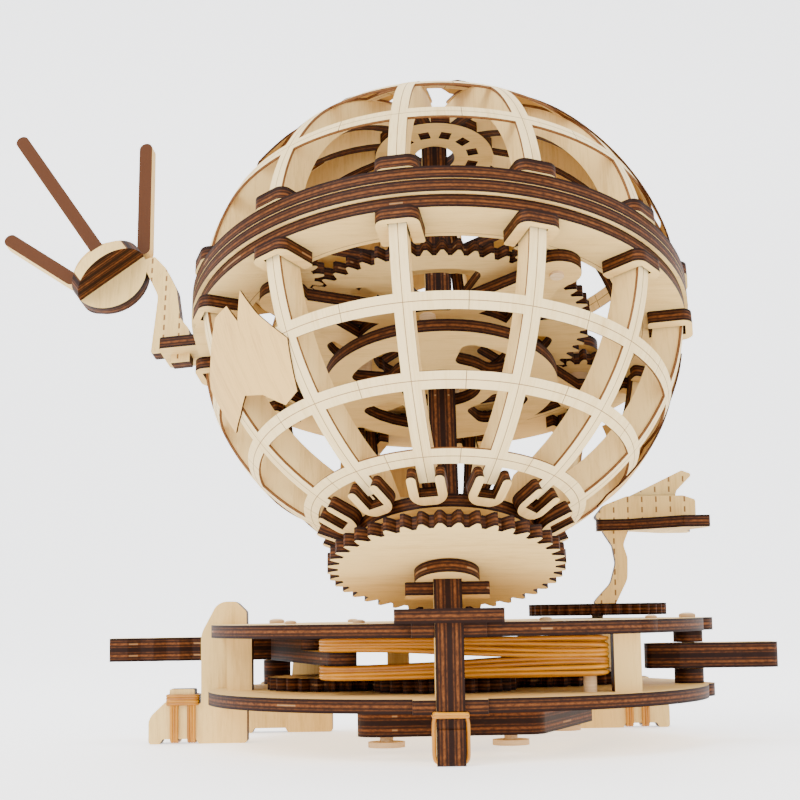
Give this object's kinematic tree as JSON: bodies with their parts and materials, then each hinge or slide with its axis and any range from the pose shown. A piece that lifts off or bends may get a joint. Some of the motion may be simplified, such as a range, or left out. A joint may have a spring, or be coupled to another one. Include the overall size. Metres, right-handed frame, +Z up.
{
  "type": "orrery globe",
  "caption": "Plywood orrery: a tilted openwork globe turns on a geared base, with a satellite on its ring, a shuttle on a toothed disc, a winding handle and rubber-band motor.",
  "frame": {"origin": "centre of the front leg's bottom face, on the surface it stands on", "axes": "+Z up, -Y to the front where the front leg stands, +X to the right seen from the front; the globe's axis leans 20 degrees from +Z towards +Y"},
  "size_m": [0.2493, 0.2, 0.2043],
  "materials": {
    "plywood": "laser-cut birch plywood, pale grained faces and burnt brown layered edges",
    "veneer": "thin pale birch ply with fine engraved centre lines",
    "land_veneer": "tan birch ply with a burnt rim",
    "dowel": "turned pale wooden pins, waxed",
    "rubber_band": "translucent amber latex bands"
  },
  "bodies": {
    "base": {"bottom_plate": "plywood", "top_plate": "plywood", "column_sheets": "plywood", "axis_bracket": "plywood", "shaft_collar": "plywood", "shaft_key": "plywood", "left_foot": "plywood", "foot_bands": "rubber_band", "rear_feet": "plywood", "posts": "plywood", "bearing_plates": "plywood", "bearing_caps": "dowel", "base_pins": "dowel", "lever_washers": "plywood", "sun_wheel": "plywood"},
    "globe": {"globe_wheel": "plywood", "crown_plate": "plywood", "lower_ribs": "plywood", "lower_lattice": "veneer", "crown_clips": "plywood", "upper_ribs": "plywood", "upper_lattice": "veneer", "globe_ring_lower": "plywood", "globe_ring_upper": "plywood", "ring_clips": "plywood", "polar_disc": "plywood", "frame_plates": "plywood", "planet_pins": "dowel", "lower_frame_disc": "plywood", "globe_spacers": "plywood", "land_australia": "land_veneer", "land_americas": "land_veneer", "land_africa": "land_veneer", "land_eurasia": "land_veneer"},
    "satellite": {"satellite_ring": "plywood", "satellite_arm": "plywood", "satellite_body": "plywood", "satellite_antennas": "plywood"},
    "planet_1": {"planet_wheel_1": "plywood"},
    "planet_2": {"planet_wheel_2": "plywood"},
    "planet_3": {"planet_wheel_3": "plywood"},
    "planet_4": {"planet_wheel_4": "plywood"},
    "drive": {"drive_axle": "dowel", "drive_wheel": "plywood", "drive_pinion": "plywood"},
    "idler": {"idler_wheel": "plywood"},
    "motor": {"motor_wheel": "plywood"},
    "shuttle": {"shuttle_axle": "dowel", "shuttle_wheel": "plywood", "shuttle_disc": "plywood", "shuttle_stand": "plywood", "shuttle_wing": "plywood", "shuttle_body": "plywood", "shuttle_fin": "plywood"},
    "winding": {"winding_handle": "plywood", "winding_arm": "plywood", "band_pin": "dowel", "motor_bands": "rubber_band"},
    "lever": {"start_lever": "plywood"}
  },
  "joints": [
    {"name": "globe_spin", "type": "hinge", "parent": "base", "child": "globe", "pos_m": [0, 0, 0.039], "axis": [0, 0.342, 0.9397], "continuous": true},
    {"name": "planet_spin_1", "type": "hinge", "parent": "globe", "child": "planet_1", "pos_m": [0.03183, -0.00982, 0.14495], "axis": [0, 0.342, 0.9397], "continuous": true},
    {"name": "planet_spin_2", "type": "hinge", "parent": "globe", "child": "planet_2", "pos_m": [0.04546, 0.06282, 0.11851], "axis": [0, 0.342, 0.9397], "continuous": true},
    {"name": "planet_spin_3", "type": "hinge", "parent": "globe", "child": "planet_3", "pos_m": [-0.03183, 0.07562, 0.11385], "axis": [0, 0.342, 0.9397], "continuous": true},
    {"name": "planet_spin_4", "type": "hinge", "parent": "globe", "child": "planet_4", "pos_m": [-0.04546, 0.00299, 0.14029], "axis": [0, 0.342, 0.9397], "continuous": true},
    {"name": "satellite_spin", "type": "hinge", "parent": "globe", "child": "satellite", "pos_m": [0, 0.0329, 0.1294], "axis": [0, 0.342, 0.9397], "continuous": true},
    {"name": "drive_spin", "type": "hinge", "parent": "base", "child": "drive", "pos_m": [0, 0.04744, 0.018], "axis": [0, 0, 1], "continuous": true},
    {"name": "idler_spin", "type": "hinge", "parent": "base", "child": "idler", "pos_m": [0.03054, 0.08653, 0.018], "axis": [0, 0, 1], "continuous": true},
    {"name": "motor_spin", "type": "hinge", "parent": "base", "child": "motor", "pos_m": [-0.03408, 0.0713, 0.018], "axis": [0, 0, 1], "continuous": true},
    {"name": "shuttle_spin", "type": "hinge", "parent": "base", "child": "shuttle", "pos_m": [0.05615, 0.11931, 0.018], "axis": [0, 0, 1], "continuous": true},
    {"name": "winding_swing", "type": "hinge", "parent": "base", "child": "winding", "pos_m": [-0.0565, 0.12, 0.0266], "axis": [0, 0, 1], "range_deg": [-12, 0], "deforming": ["motor_bands"]},
    {"name": "lever_swing", "type": "hinge", "parent": "base", "child": "lever", "pos_m": [0.08, 0.075, 0.0229], "axis": [0, 0, 1], "range_deg": [-8, 8]}
  ],
  "couplings": [
    {"joint": "planet_spin_1", "follows": "globe_spin", "ratio": 4.2857},
    {"joint": "planet_spin_2", "follows": "globe_spin", "ratio": 4.2857},
    {"joint": "planet_spin_3", "follows": "globe_spin", "ratio": 4.2857},
    {"joint": "planet_spin_4", "follows": "globe_spin", "ratio": 4.2857},
    {"joint": "satellite_spin", "follows": "globe_spin", "ratio": 0.68182},
    {"joint": "drive_spin", "follows": "globe_spin", "ratio": -3.4167},
    {"joint": "idler_spin", "follows": "globe_spin", "ratio": 2.4676},
    {"joint": "motor_spin", "follows": "globe_spin", "ratio": 3.4167},
    {"joint": "shuttle_spin", "follows": "globe_spin", "ratio": -5.5521}
  ]
}
